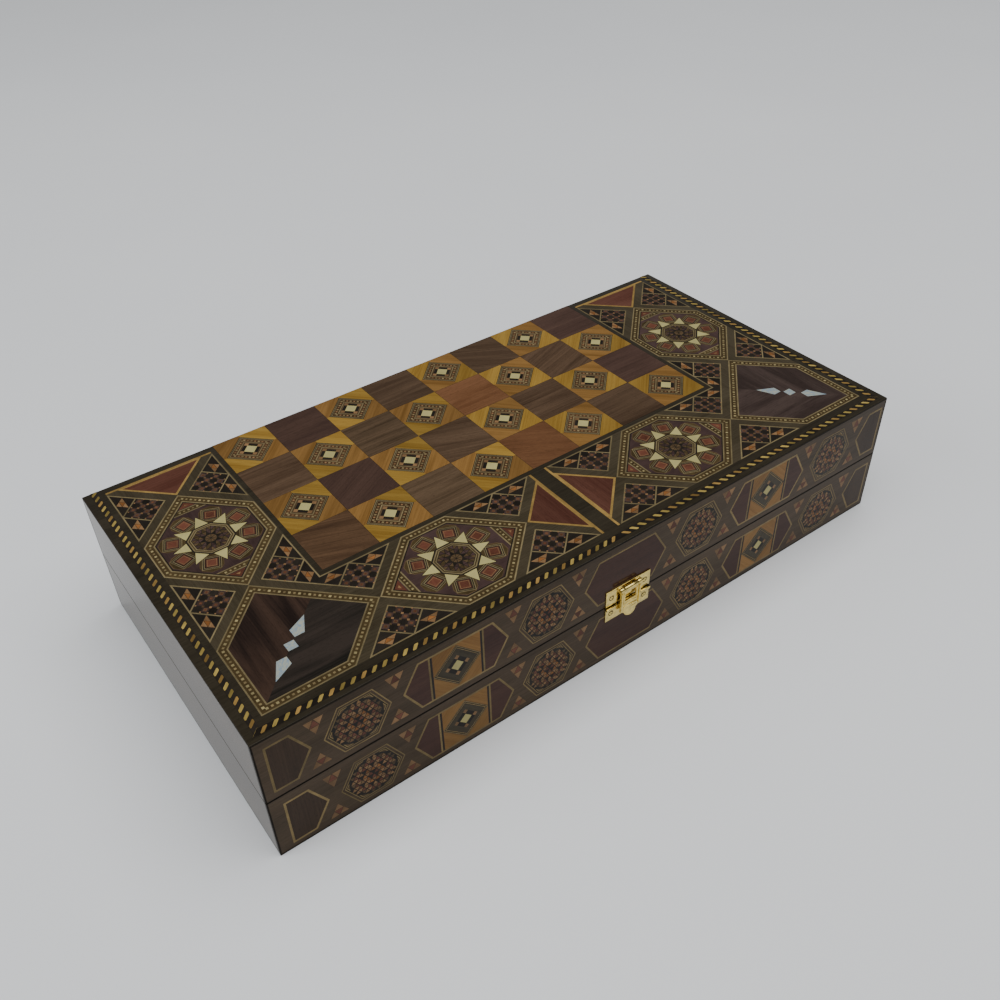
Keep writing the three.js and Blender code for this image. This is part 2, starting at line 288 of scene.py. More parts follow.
PAINTS = {
    "ground": wood((0.015, 0.0125, 0.0080), (0.031, 0.0255, 0.0165), figure=0.03),
    "smoked": wood((0.031, 0.0245, 0.0140), (0.057, 0.0460, 0.0280), figure=0.05, spread=0.1),
    "walnut": wood((0.040, 0.023, 0.013), (0.101, 0.063, 0.038), figure=0.09),
    "pale_walnut": wood((0.033, 0.018, 0.010), (0.102, 0.058, 0.031), figure=0.05),
    "grey_walnut": wood((0.042, 0.027, 0.015), (0.097, 0.063, 0.037), figure=0.16),
    "ruddy_walnut": wood((0.088, 0.038, 0.016), (0.153, 0.072, 0.034), figure=0.05),
    "umber_walnut": wood((0.044, 0.026, 0.015), (0.103, 0.065, 0.039), figure=0.10),
    "rosewood": wood((0.017, 0.011, 0.009), (0.052, 0.031, 0.022), figure=0.08, streak=0.25),
    "dark_rosewood": wood((0.011, 0.010, 0.008), (0.034, 0.026, 0.021), figure=0.08, streak=0.25),
    "violetwood": wood((0.030, 0.020, 0.017), (0.056, 0.039, 0.033), figure=0.08, streak=0.25),
    "plum": wood((0.040, 0.0225, 0.0175), (0.072, 0.0420, 0.0310), figure=0.05, spread=0.1),
    "mahogany": wood((0.034, 0.015, 0.011), (0.059, 0.027, 0.019), figure=0.05, spread=0.1),
    "cocoa": wood((0.028, 0.016, 0.009), (0.050, 0.030, 0.017), figure=0.05, spread=0.1),
    "padauk": wood((0.059, 0.021, 0.014), (0.102, 0.043, 0.029), figure=0.06),
    "lemon": wood((0.165, 0.090, 0.015), (0.275, 0.170, 0.036), figure=0.10, pore=0.85),
    "amber_wood": wood((0.120, 0.060, 0.015), (0.215, 0.115, 0.034), figure=0.10, pore=0.85),
    "honey": wood((0.150, 0.072, 0.019), (0.245, 0.132, 0.040), figure=0.08, pore=0.85),
    "veneer": wood((0.036, 0.023, 0.012), (0.078, 0.053, 0.031), figure=0.05, spread=0.05),
    "worn_edge": wood((0.010, 0.008, 0.006), (0.024, 0.018, 0.012), figure=0.05, coat=0.4),
    "field": wood((0.038, 0.020, 0.009), (0.090, 0.048, 0.022), 0.9, 0.08, axes="xyz"),
    "case_x": wood((0.030, 0.016, 0.008), (0.072, 0.040, 0.021), 0.8, 0.09, axes="xzy", bumpy=True),
    "case_y": wood((0.030, 0.016, 0.008), (0.072, 0.040, 0.021), 0.8, 0.09, axes="yzx", bumpy=True),
    "plywood": wood((0.20, 0.125, 0.055), (0.34, 0.23, 0.12), 0.5, 0.05, axes="xyz", coat=0.1),
    "black": inlay((0.016, 0.013, 0.010)),
    "umber": inlay((0.048, 0.033, 0.014)),
    "brown": inlay((0.074, 0.048, 0.024)),
    "string": inlay((0.152, 0.120, 0.060), 0.2),
    "front_string": inlay((0.175, 0.125, 0.052), 0.25),
    "gold": inlay((0.22, 0.140, 0.042), 0.25),
    "rope_gold": inlay((0.255, 0.185, 0.050), 0.4),
    "rope_amber": inlay((0.205, 0.125, 0.036), 0.4),
    "tan": inlay((0.175, 0.100, 0.046)),
    "orange": inlay((0.190, 0.078, 0.024)),
    "red": inlay((0.098, 0.036, 0.022)),
    "purple": inlay((0.048, 0.029, 0.026)),
    "cream": inlay((0.225, 0.185, 0.090), 0.25),
    "russet": inlay((0.052, 0.028, 0.013)),
    "old_cream": inlay((0.165, 0.125, 0.060), 0.25),
    "bone": inlay((0.35, 0.31, 0.130), 0.08, grain_shade=0.08),
    "pearl": pearl,
    "light_man": wood((0.26, 0.15, 0.055), (0.40, 0.26, 0.11), 0.7, 0.12, 0.9, 0.08),
    "dark_man": wood((0.018, 0.009, 0.005), (0.055, 0.026, 0.012), 0.7, 0.12, 0.8, 0.1),
    "ivory": inlay((0.52, 0.46, 0.34), 0.03, grain_shade=0.06),
    "brass": brass((0.79, 0.62, 0.20), roughness=0.18),
    # Painted shade: brass darkened to stand for the shade in the screws' countersinks and slots
    "dark_brass": brass((0.16, 0.12, 0.05), roughness=0.5),
}
made_paints = {}


def paint(name):
    if name not in made_paints:
        made_paints[name] = PAINTS[name](name)
    return made_paints[name]


# ---------------------------------------------------------------- flat drawing, in millimetres

SLIVER = 0.02  # twice the area of the smallest shape that is worth painting
WELD = 1e-4  # points closer than this are one
VALID_FACES = 4  # delaunay_2d_cdt's output type that keeps the shapes' own faces, as a mesh can hold them


def area(points):
    """Twice the signed area."""
    return sum(p[0] * q[1] - q[0] * p[1] for p, q in zip(points, points[1:] + points[:1]))


def inset(points, depth):
    """The outline moved inwards by depth."""
    points = list(points)
    if area(points) < 0:
        points.reverse()
    moved = []
    for index, point in enumerate(points):
        before = Vector(points[index - 1])
        here = Vector(point)
        after = Vector(points[(index + 1) % len(points)])
        a = (here - before).normalized()
        b = (after - here).normalized()
        left = Vector((-a.y - b.y, a.x + b.x))
        corner = here + left * (depth / (1 + a.dot(b)))
        moved.append((corner.x, corner.y))
    return moved


def clip(points, a, b):
    """The part of an outline that is left of the line from a to b."""
    sides = [(b[0] - a[0]) * (p[1] - a[1]) - (b[1] - a[1]) * (p[0] - a[0]) for p in points]
    kept = []
    for index, point in enumerate(points):
        before, side = sides[index - 1], sides[index]
        if before * side < 0:
            part = before / (before - side)
            last = points[index - 1]
            kept.append((last[0] + part * (point[0] - last[0]), last[1] + part * (point[1] - last[1])))
        if side >= 0:
            kept.append(point)
    return kept


def rectangle(x0, x1, y0, y1):
    return [(x0, y0), (x1, y0), (x1, y1), (x0, y1)]


def diamond(half):
    return [(half, 0), (0, half), (-half, 0), (0, -half)]


def long_hexagon(tip, flat, half):
    """A hexagon with its tips on the x axis and its flat sides at y = half and -half."""
    return [(-tip, 0), (-flat, -half), (flat, -half), (tip, 0), (flat, half), (-flat, half)]


def regular(sides, apothem):
    """A regular outline with a flat side facing +x."""
    radius = apothem / math.cos(math.pi / sides)
    angles = [(2 * i + 1) * math.pi / sides for i in range(sides)]
    return [(radius * math.cos(a), radius * math.sin(a)) for a in angles]


def quarter_of(corners):
    """A triangle split into its three corner triangles and the one in the middle, which comes last."""
    a, b, c = (Vector(p) for p in corners)
    ab, bc, ca = (a + b) / 2, (b + c) / 2, (c + a) / 2
    return [[tuple(p) for p in part] for part in ((a, ab, ca), (ab, b, bc), (ca, bc, c), (ab, bc, ca))]


class Pen:
    """Paints shapes in its own coordinates, which lie turned, mirrored and moved on the sheet."""

    def __init__(self, shapes, u=(1, 0), v=(0, 1), at=(0, 0), clips=()):
        self.shapes, self.u, self.v, self.origin, self.clips = shapes, u, v, at, clips

    def place(self, point):
        x, y = point
        return (
            self.origin[0] + self.u[0] * x + self.v[0] * y,
            self.origin[1] + self.u[1] * x + self.v[1] * y,
        )

    def at(self, x, y, turned=0.0, mirror=False):
        """A pen with its origin at x, y, turned by degrees; a mirrored one swaps its x and y."""
        c, s = math.cos(math.radians(turned)), math.sin(math.radians(turned))
        u = tuple(c * a + s * b for a, b in zip(self.u, self.v))
        v = tuple(c * b - s * a for a, b in zip(self.u, self.v))
        if mirror:
            u, v = v, u
        return Pen(self.shapes, u, v, self.place((x, y)), self.clips)

    def clipped(self, a, b):
        """A pen that keeps only what is left of the line from a to b."""
        line = (self.place(a), self.place(b))
        if self.u[0] * self.v[1] < self.u[1] * self.v[0]:
            line = line[::-1]
        return Pen(self.shapes, self.u, self.v, self.origin, (*self.clips, line))

    def poly(self, points, name, grain=0.0):
        placed = [self.place(p) for p in points]
        for a, b in self.clips:
            placed = clip(placed, a, b)
        if len(placed) < 3 or abs(area(placed)) < SLIVER:
            return
        if area(placed) < 0:
            placed.reverse()
        c, s = math.cos(math.radians(grain)), math.sin(math.radians(grain))
        along = Vector((c * self.u[0] + s * self.v[0], c * self.u[1] + s * self.v[1]))
        self.shapes.append((placed, name, math.atan2(along.y, along.x)))

    def rings(self, outline, widths):
        """Bands from the outline inwards, each (width, paint). Returns what is left inside."""
        for width, name in widths:
            self.poly(outline, name)
            outline = inset(outline, width)
        return outline

    def string(self, a, b, width, name="string"):
        """A straight string from a to b."""
        a, b = Vector(a), Vector(b)
        side = (b - a).normalized().orthogonal() * (width / 2)
        self.poly([tuple(a - side), tuple(b - side), tuple(b + side), tuple(a + side)], name)

    def beads(self, a, b, pitch, size, names):
        """Little squares from a to b, every other one a bit smaller, as even as the pitch allows."""
        a, b = Vector(a), Vector(b)
        count = max(1, round((b - a).length / pitch))
        angle = math.atan2(b.y - a.y, b.x - a.x)
        for i in range(count):
            spot = a.lerp(b, (i + 0.5) / count)
            half = size * (0.44 if i % 2 else 0.5)
            c, s = half * math.cos(angle), half * math.sin(angle)
            corners = [(c - s, s + c), (-c - s, -s + c), (-c + s, -s - c), (c + s, s - c)]
            self.poly([(spot.x + p, spot.y + q) for p, q in corners], names[i % len(names)])

    def beads_round(self, outline, pitch, size, names):
        """A row of little squares along each side of an outline."""
        for a, b in zip(outline, outline[1:] + outline[:1]):
            self.beads(a, b, pitch, size, names)

    def beaded_border(self, outline, pitch, size, rings):
        """String, dark band with a row of squares, string. Returns the outline inside."""
        inside = self.rings(outline, rings)
        self.beads_round(inset(outline, rings[0][0] + rings[1][0] / 2), pitch, size, BEADS)
        return inside


class Motif:
    """A drawing cut up so that each spot belongs to the shape painted there last. A shape painted with
    None is a hole."""

    def __init__(self, shapes):
        points, loops = [], []
        for outline, _, _ in shapes:
            loops.append(list(range(len(points), len(points) + len(outline))))
            points.extend(Vector(p) for p in outline)
        spots, _, faces, _, _, owners = delaunay_2d_cdt(points, [], loops, VALID_FACES, WELD, True)
        self.points = [(p.x, p.y) for p in spots]
        self.shapes = shapes
        self.cells = []
        sides = {}
        for face, owner in zip(faces, owners):
            if not owner or shapes[max(owner)][1] is None:
                continue
            self.cells.append((face, max(owner)))
            for i, j in zip(face, face[1:] + face[:1]):
                sides[(i, j)] = max(owner)
        self.edges = [(i, j, owner) for (i, j), owner in sides.items() if (j, i) not in sides]


def motif(draw):
    shapes = []
    draw(Pen(shapes))
    return Motif(shapes)


# ---------------------------------------------------------------- pieces


class Piece:
    """One object's mesh, collected in millimetres."""

    def __init__(self, name):
        self.name = name
        self.verts, self.faces, self.names, self.grain = [], [], [], []
        self.draw = random.Random(name)

    def add(self, face, name, grain, flip=False):
        if flip:
            face = face[::-1]
            grain = grain[::-1]
        self.faces.append(face)
        self.names.append(name)
        self.grain.extend(grain)

    def plate(self, drawing, origin, u, v, n, lift=0.0, thick=0.35):
        """A cut drawing as a thin closed plate, its face lift above the plane."""
        flip = u.cross(v).dot(n) < 0
        start, count = len(self.verts), len(drawing.points)
        for height in (lift, lift - thick):
            self.verts.extend(origin + u * x + v * y + n * height for x, y in drawing.points)
        tiles = [self.draw.random() for _ in drawing.shapes]

        def coords(indices, owner):
            _, _, angle = drawing.shapes[owner]
            c, s, tile = math.cos(angle), math.sin(angle), tiles[owner]
            found = []
            for i in indices:
                x, y = drawing.points[i]
                found.append((c * x + s * y + TILE_ALONG * tile, c * y - s * x + TILE_ACROSS * tile, tile))
            return found

        for cell, owner in drawing.cells:
            name, grain = drawing.shapes[owner][1], coords(cell, owner)
            self.add([start + i for i in cell], name, grain, flip)
            self.add([start + count + i for i in cell], name, grain, not flip)
        for i, j, owner in drawing.edges:
            quad = [start + i, start + count + i, start + count + j, start + j]
            self.add(quad, drawing.shapes[owner][1], coords((i, i, j, j), owner), flip)

    def solid(self, verts, faces, name, along=X, across=Y):
        """Faces in space, with one grain direction and one shade."""
        start, tile = len(self.verts), self.draw.random()
        self.verts.extend(verts)
        up = along.cross(across)
        for face in faces:
            grain = []
            for i in face:
                p = verts[i]
                side = p.dot(across) + p.dot(up) * 0.8
                grain.append((p.dot(along) + TILE_ALONG * tile, side + TILE_ACROSS * tile, tile))
            self.add([start + i for i in face], name, grain)

    def lathe(self, profile, origin, axis, name, sides=40, along=X, across=Y):
        """(radius, height) points turned about an axis, closed at both ends where the radius is 0."""
        side = axis.orthogonal().normalized()
        other = axis.cross(side)
        verts, rings = [], []
        for radius, height in profile:
            if radius == 0:
                rings.append([len(verts)] * sides)
                verts.append(origin + axis * height)
                continue
            rings.append(list(range(len(verts), len(verts) + sides)))
            for i in range(sides):
                angle = 2 * math.pi * i / sides
                ring = side * math.cos(angle) + other * math.sin(angle)
                verts.append(origin + axis * height + ring * radius)
        faces = []
        for low, high in zip(rings, rings[1:]):
            for i in range(sides):
                j = (i + 1) % sides
                loop = [low[i], low[j], high[j], high[i]]
                faces.append(list(dict.fromkeys(loop)))
        self.solid(verts, faces, name, along, across)

    def block(self, low, high, name, bevel=0.0, along=X, across=Y, segments=2):
        """A box with its edges rounded."""
        shape = bmesh.new()
        bmesh.ops.create_cube(shape, size=1)
        for vert in shape.verts:
            vert.co = Vector((a + (b - a) * (c + 0.5) for a, b, c in zip(low, high, vert.co)))
        if bevel:
            bmesh.ops.bevel(
                shape, geom=shape.edges[:], offset=bevel, segments=segments, profile=0.5, affect="EDGES"
            )
        self.take(shape, name, along, across)

    def take(self, shape, name, along=X, across=Y):
        shape.verts.index_update()
        verts = [v.co.copy() for v in shape.verts]
        faces = [[v.index for v in f.verts] for f in shape.faces]
        shape.free()
        self.solid(verts, faces, name, along, across)

    def make(self, body, slot, replaces=(), smooth=None):
        mesh = bpy.data.meshes.new(self.name)
        mesh.from_pydata([v * MM for v in self.verts], [], self.faces)
        used = sorted(set(self.names))
        for name in used:
            mesh.materials.append(paint(name))
        mesh.polygons.foreach_set("material_index", [used.index(name) for name in self.names])
        grain = mesh.attributes.new("grain", "FLOAT_VECTOR", "CORNER")
        grain.data.foreach_set("vector", [value for corner in self.grain for value in corner])
        mesh.polygons.foreach_set("use_smooth", [smooth is not None] * len(self.faces))
        if smooth is not None:
            mesh.set_sharp_from_angle(angle=math.radians(smooth))
        mesh.update()
        thing = bpy.data.objects.new(self.name, mesh)
        bpy.context.scene.collection.objects.link(thing)
        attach(thing, body)
        if replaces:
            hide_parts(*replaces)
        return thing


# ---------------------------------------------------------------- the marquetry's motifs

EDGE = 13.5  # outer edge of the band of panels, from the case's edge
CENTRE = 50.5  # its centre line
INNER = 87.5  # its inner edge
STRING = 0.9  # width of a light string
BEADS = ("cream", "old_cream")
BEAD_PITCH = 3.0
LATTICE = 106.5  # length of a star panel; the panels' tips meet at multiples of it
STAR_TIP = LATTICE / 2
STAR_HALF = CENTRE - EDGE  # half its height
STAR_FLAT = STAR_TIP - STAR_HALF  # half of one of its flat sides
MOSAIC = 29  # height of a mosaic triangle, and half its long side
CHESS = 91.2  # corner of the chess field, from the case's edges
SQUARE = 39.7
SQUARE_EDGE = SQUARE / 2 - 0.12  # half a square, less its share of the black line between them
QUARTER = 250.0  # where a drawing of the top ends, at the case's middle and at its back
MIDDLE_STRING = 243.2

BORDER = ((STRING, "string"), (4.3, "umber"), (STRING, "string"), (0.8, "black"))
BORDER_WIDTH = sum(width for width, _ in BORDER)


def star_panel(pen):
    """A long hexagon, its length along x, with an eight-petalled star."""
    outline = long_hexagon(STAR_TIP, STAR_FLAT, STAR_HALF)
    pen.poly(pen.beaded_border(outline, BEAD_PITCH, 1.5, BORDER), "purple")

    def reach(u):
        """Half the height of the field inside the border, u from the panel's middle and near its tip."""
        return STAR_TIP - BORDER_WIDTH * math.sqrt(2) - u

    for turned in (0, 180):
        half = pen.at(0, 0, turned)
        for low, high, name in ((32.4, 33.3, "string"), (33.3, 36.5, "umber"), (36.5, 37.4, "string")):
            band = [(low, -reach(low)), (high, -reach(high)), (high, reach(high)), (low, reach(low))]
            half.poly(band, name)
        half.beads((34.9, -reach(36)), (34.9, reach(36)), BEAD_PITCH, 1.4, BEADS)
        tip = [(38.0, -reach(38.0)), (reach(0), 0), (38.0, reach(38.0))]
        half.poly(tip, "red")
        half.poly(inset(tip, 1.6), "tan")
        half.poly(inset(tip, 2.2), "red")
    for k in range(8):
        petal = pen.at(0, 0, 22.5 + 45 * k)
        cap = [(12, -7.0), (26.5, -7.4), (30.2, -5.6), (32.2, 0), (30.2, 5.6), (26.5, 7.4), (12, 7.0)]
        petal.poly(cap, "brown")
        petal.poly(inset(cap, 0.5), "umber")
        squares = ((0.5, "string"), (0.6, "black"), (0.5, "string"), (0.6, "black"))
        middle = petal.rings(rectangle(17.4, 29.2, -5.9, 5.9), squares)
        petal.poly(petal.rings(middle, ((0.7, "padauk"), (0.35, "tan"))), "red", 45)
    for k in range(8):
        ray = pen.at(0, 0, 45 * k)
        ray.poly([(14.5, -4.9), (24.9, 0), (14.5, 4.9)], "black")
        ray.poly([(14.5, -4.4), (24.3, 0), (14.5, 4.4)], "bone", 90)
    lines = ((1.0, "black"), (0.8, "string"), (0.7, "umber"), (0.7, "string"))
    pen.poly(pen.rings(regular(8, 14.4), lines), "black")
    colours = ("brown", "purple", "brown", "black", "purple", "umber")
    rings = 3
    for k in range(8):
        fan = pen.at(0, 0, 45 * k)
        for ring in range(rings):
            for i in range(2 * ring + 1):
                corners = fan_triangle(ring, i, 11.0 / rings)
                fan.poly(inset(corners, 0.18), colours[(ring * 2 + i) % 6])


def fan_triangle(ring, i, step):
    """Triangle i of a ring in an eighth of an octagon; the odd ones point inwards."""
    wide = 2 * math.tan(math.pi / 8) * step
    low, high = step * ring, step * (ring + 1)
    left_low = -wide * ring / 2
    left_high = -wide * (ring + 1) / 2
    j = i // 2
    if i % 2 == 0:
        return [(low, left_low + wide * j), (high, left_high + wide * j), (high, left_high + wide * (j + 1))]
    return [(low, left_low + wide * j), (high, left_high + wide * (j + 1)), (low, left_low + wide * (j + 1))]


def mosaic_triangle(pen):
    """A right triangle: its long side on y = 0 from -MOSAIC to MOSAIC, its point at y = MOSAIC."""
    inside = pen.rings([(-MOSAIC, 0), (MOSAIC, 0), (0, MOSAIC)], ((STRING, "string"),))
    pen.poly(inside, "black")
    checker = pen.at(0, 0.6, 45)
    cell = (MOSAIC / math.sqrt(2) - 2.2) / 4
    for i in range(4):
        for j in range(4):
            low = (1.0 + cell * i, 1.0 + cell * j)
            tile = rectangle(low[0] + 0.2, low[0] + cell - 0.2, low[1] + 0.2, low[1] + cell - 0.2)
            checker.poly(tile, "purple" if (i + j) % 2 else "black")
            if (i + j) % 2:
                checker.poly(inset(tile, 0.9), "brown")
                checker.poly(inset(tile, 1.4), "red")
    for i in range(5):
        for j in range(5):
            spot = checker.at(1.0 + cell * i, 1.0 + cell * j)
            if 0 < i < 4 and 0 < j < 4:
                spot.poly(rectangle(-0.75, 0.75, -0.75, 0.75), "tan" if (i + j) % 2 else "brown")
            elif (i in (0, 4)) != (j in (0, 4)):
                spot.poly(rectangle(-0.5, 0.5, -0.5, 0.5), "tan")
    for side in (-1, 1):
        corners = [(side * 1.2, STRING), (side * 26.6, STRING), (side * 13.9, 13.6)]
        parts = quarter_of(corners)
        for part in parts[:3]:
            pen.poly(inset(part, 0.3), "black")
        for part, name in zip(quarter_of(parts[3]), ("tan", "tan", "tan", "orange")):
            pen.poly(inset(part, 0.12), name)
        pen.string((0, STRING / 2), (side * 14.4, 14.4), STRING)


def corner_panel(upper, lower):
    """The five-sided panel in a corner of the case, of two woods that meet under a row of pearl."""
    flat = LATTICE - STAR_HALF
    outline = [(EDGE, EDGE), (flat, EDGE), (LATTICE, CENTRE), (CENTRE, LATTICE), (EDGE, flat)]
    rings = ((STRING, "string"), (4.2, "umber"), (STRING, "string"))

    def draw(pen):
        inside = pen.beaded_border(outline, BEAD_PITCH, 1.6, rings)
        pen.clipped((0, 0), (1, 1)).poly(inside, upper, 90)
        pen.clipped((1, 1), (0, 0)).poly(inside, lower, 0)
        pen.poly(rectangle(45.1, 51.3, 45.1, 51.3), "pearl")
        pen.poly([(52.7, 52.7), (59, 52.7), (65, 65), (52.7, 59)], "pearl", 45)
        pen.poly([(42.5, 42.5), (36.3, 42.5), (29.6, 29.6), (42.5, 36.3)], "pearl", 45)

    return motif(draw)


def band_mosaics(pen):
    """What lies between the panels along x: mosaic triangles, and the plain red one by the middle."""
    mosaic_triangle(pen.at(LATTICE, EDGE))
    mosaic_triangle(pen.at(2 * LATTICE, EDGE))
    mosaic_triangle(pen.at(2 * LATTICE, INNER, 180))
    tip = 2 * LATTICE + 0.5
    reach = MIDDLE_STRING - tip
    red = [(tip, CENTRE), (MIDDLE_STRING, CENTRE - reach), (MIDDLE_STRING, CENTRE + reach)]
    pen.poly(pen.rings(red, ((1.5, "gold"),)), "padauk", 90)
    pen.string((MIDDLE_STRING + 0.4, EDGE), (MIDDLE_STRING + 0.4, INNER), 1.7, "gold")


def inner_corner(pen):
    """Two mosaic triangles that meet on the mitre by the chess field."""
    for mirror in (False, True):
        half = pen.at(0, 0, mirror=mirror)
        mosaic_triangle(half.clipped((0, 0), (-1, -1)).at(LATTICE, INNER, 180))


ROPE_WIDTH = 4.4
DASH = (
    (0.6, 0.4), (2.3, 0.4), (2.9, 0.8), (5.4, 3.3), (5.6, 3.8),
    (5.3, 4.1), (3.6, 4.1), (3.1, 3.8), (0.6, 1.1),
)  # it slants across the rope
ROPES = ((False, 3.3, 6.5), (True, 5.1, 6.2))  # mirrored to the short side, distance from the edge, pitch


def rope(pen):
    """The border of slanting gold dashes along x and y."""
    for mirror, low, pitch in ROPES:
        side = pen.at(0, 0, mirror=mirror).clipped((0, 0), (-1, -1)).clipped((QUARTER, 0), (QUARTER, 1))
        side.poly(rectangle(low, QUARTER, low, low + ROPE_WIDTH), "black")
        start = low - 2.0
        number = 0
        while start + 3.4 < QUARTER:
            dash = [(start + x, low + y) for x, y in DASH]
            side.poly(dash, "rope_amber" if number % 3 == 1 else "rope_gold", 45)
            start += pitch
            number += 1


def smoked_band(pen):
    """The wood between the panels, its grain along each side."""
    for mirror in (False, True):
        side = pen.at(0, 0, mirror=mirror).clipped((0, 0), (-1, -1))
        side.poly(rectangle(EDGE, MIDDLE_STRING, EDGE, INNER + 0.5), "smoked")


def bone_diamond(pen, half, tip):
    """A bone diamond, with a small tan one off each of its corners."""
    for k in range(4):
        pen.at(0, 0, 90 * k).at(6.6, 0).poly(diamond(tip), "tan")
    pen.poly(diamond(half), "bone", 45)


def light_square(pen):
    """A golden chess square with a bone diamond."""
    for k, name in enumerate(("lemon", "amber_wood", "lemon", "amber_wood")):
        pen.at(0, 0, 90 * k).poly(rectangle(0, SQUARE_EDGE, 0, SQUARE_EDGE), name, -45)
    lines = ((0.45, "black"), (0.5, "string"), (0.45, "black"), (0.4, "string"))
    outline = diamond(17.7)
    middle = pen.rings(outline, (*lines, (3.0, "russet"), (0.7, "string"), (1.2, "brown")))
    pen.beads_round(inset(outline, 3.3), 2.6, 1.5, ("old_cream", "tan"))
    pen.poly(middle, "black")
    bone_diamond(pen, 5.0, 1.9)


LID_SQUARES = (
    ("", "plum", "", "umber_walnut", "", "umber_walnut", "", "plum"),
    ("walnut", "", "grey_walnut", "", "ruddy_walnut", "", "walnut", ""),
    ("", "plum", "", "umber_walnut", "", "walnut", "", "plum"),
    ("pale_walnut", "", "grey_walnut", "", "ruddy_walnut", "", "umber_walnut", ""),
)
BASE_SQUARES = (
    ("plum", "", "umber_walnut", "", "ruddy_walnut", "", "plum", ""),
    ("", "walnut", "", "grey_walnut", "", "umber_walnut", "", "walnut"),
    ("umber_walnut", "", "plum", "", "grey_walnut", "", "ruddy_walnut", ""),
    ("", "pale_walnut", "", "umber_walnut", "", "plum", "", "grey_walnut"),
)
GRAIN = (0, 0, 30, 0, -20)  # degrees that the dark squares' grain is turned, by turns


def chess(table, right):
    """Four by four squares; table gives the dark ones from the hinge, an empty name is a light one."""

    def draw(pen):
        pen.poly(rectangle(CHESS - 0.1, QUARTER, CHESS - 0.1, QUARTER), "black")
        for row in range(4):
            for column in range(4):
                name = table[row][7 - column if right else column]
                spot = pen.at(CHESS + SQUARE * (column + 0.5), CHESS + SQUARE * (3.5 - row))
                if name:
                    outline = rectangle(-SQUARE_EDGE, SQUARE_EDGE, -SQUARE_EDGE, SQUARE_EDGE)
                    spot.poly(outline, name, GRAIN[(row * 3 + column) % 5])
                else:
                    light_square(spot)

    return motif(draw)


STAR = motif(star_panel)
CORNERS = {
    "left": corner_panel("rosewood", "dark_rosewood"),
    "right": corner_panel("violetwood", "violetwood"),
}
BAND = motif(band_mosaics)
INNER_CORNER = motif(inner_corner)
ROPE = motif(rope)
SMOKED = motif(smoked_band)


# ---------------------------------------------------------------- the outer faces

PROUD = 0.03  # how far the inlay stands above its ground
VENEER = 0.12  # how far a side's veneer stands above its wall
SHEET = 1.0  # from a face of the case down to its ground's underside
EASED = 0.45  # radius of the ground's edges

FACES = {
    "lid": (TOP.z, Z, LID_SQUARES),
    "base": (BOTTOM.z, -Z, BASE_SQUARES),
}

for tray, (level, normal, squares) in FACES.items():
    ground = Piece(f"{tray}_ground")
    surface = level - PROUD * normal.z
    under = level - SHEET * normal.z
    ground.block(
        Vector((-HALF_X - VENEER, -HALF_Y - VENEER, min(surface, under))),
        Vector((HALF_X + VENEER, HALF_Y + VENEER, max(surface, under))),
        "ground",
        EASED,
        segments=3,
    )
    ground.make(tray, "marquetry", [f"{tray}_marquetry"], 40)
    for side in ("left", "right"):
        right = side == "right"
        u = -X if right else X
        corner = Vector((HALF_X if right else -HALF_X, -HALF_Y, level))
        parts = (
            ("corner_panel", CORNERS[side], 0, 0, u, Y),
            ("front_star", STAR, 1.5 * LATTICE, CENTRE, u, Y),
            ("side_star", STAR, CENTRE, 1.5 * LATTICE, Y, u),
            ("front_mosaics", BAND, 0, 0, u, Y),
            ("side_mosaics", BAND, 0, 0, Y, u),
            ("inner_corner", INNER_CORNER, 0, 0, u, Y),
            ("rope", ROPE, 0, 0, u, Y),
            ("chess", chess(squares, right), 0, 0, u, Y),
        )
        for name, drawing, x, y, along, across in parts:
            piece = Piece(f"{tray}_{side}_{name}")
            piece.plate(drawing, corner + u * x + Y * y, along, across, normal)
            if name == "rope":
                piece.plate(SMOKED, corner, u, Y, normal, -PROUD / 2)
            piece.make(tray, "marquetry")


# ---------------------------------------------------------------- the front

FRONT_HALF = 18.6  # half the height of a panel
BESIDE = 24.6  # from a rosette's middle to the small triangles on either side
FRONT_MIDDLE = {"lid": LID_RIM + 23.4, "base": 23.1}
# Along x: an end panel's tip, rosette, square, rosette, centre, and in reverse to the other tip
FRONT_PLACES = {
    "lid": (-219.0, -190.7, -125.9, -61.2, 2.0, 65.2, 130.0, 194.0, 222.0),
    "base": (-215.7, -187.1, -123.0, -58.9, 4.2, 65.2, 129.8, 193.6, 221.4),
}
ENDS = {"lid": (-244.2, 247.0), "base": (-241.4, 246.4)}


def rosette(pen):
    """A hexagon of thin strings around a round mosaic."""
    lines = (
        (0.7, "front_string"),
        (1.3, "veneer"),
        (0.5, "front_string"),
        (0.6, "black"),
        (0.5, "front_string"),
    )
    pen.poly(pen.rings(long_hexagon(21.2, 10.8, FRONT_HALF), lines), "brown")
    pen.poly(regular(12, 15.8), "black")
    step = 3.8
    rise = step * math.sqrt(3) / 2
    tints = (("black", "red"), ("tan", "orange"), ("black", "tan"), ("tan", "red"), ("brown", "tan"))
    for row in range(-5, 5):
        for column in range(-8, 9):
            for up in (0, 1):
                a = (column * step + row * step / 2, row * rise)
                b = (a[0] + step, a[1])
                c = (a[0] + step / 2, a[1] + rise)
                corners = [a, b, c] if up else [b, (c[0] + step, c[1]), c]
                x = sum(p[0] for p in corners) / 3
                y = sum(p[1] for p in corners) / 3
                distance = math.hypot(x, y)
                if distance < 15.0:
                    pen.poly(inset(corners, 0.25), tints[int(distance / 3.1)][up])


